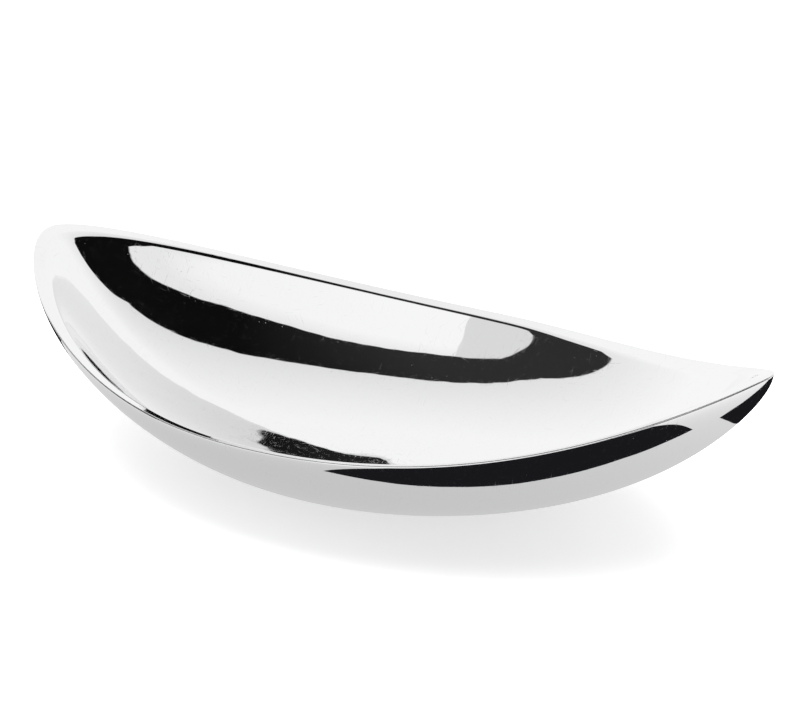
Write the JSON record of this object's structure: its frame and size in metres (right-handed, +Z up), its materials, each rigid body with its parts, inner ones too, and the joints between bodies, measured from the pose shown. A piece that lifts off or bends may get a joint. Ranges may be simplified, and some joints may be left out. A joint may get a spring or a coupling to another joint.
{
  "type": "boat-shaped bowl",
  "caption": "Boat-shaped double-walled bowl in mirror-polished metal, with raised tips, a sharp outer rim and a sloping inner land.",
  "frame": {"origin": "on the table, under the middle of the bowl, at the centre of the bounding box's underside", "axes": "+X along the bowl from tip to tip, +Y across it, +Z up out of the bowl"},
  "size_m": [0.45, 0.248, 0.1026],
  "materials": {
    "polished_steel": "mirror polished",
    "polished_steel_inside": "mirror polished",
    "solder": "as soldered",
    "plug_plastic": "matt",
    "pad_plastic": "clear, soft"
  },
  "bodies": {
    "root": {"hull": "polished_steel", "liner": "polished_steel_inside", "rim_bead": "solder", "vent_plug": "plug_plastic", "base_pad_1": "pad_plastic", "base_pad_2": "pad_plastic", "base_pad_3": "pad_plastic", "base_pad_4": "pad_plastic"}
  },
  "joints": []
}
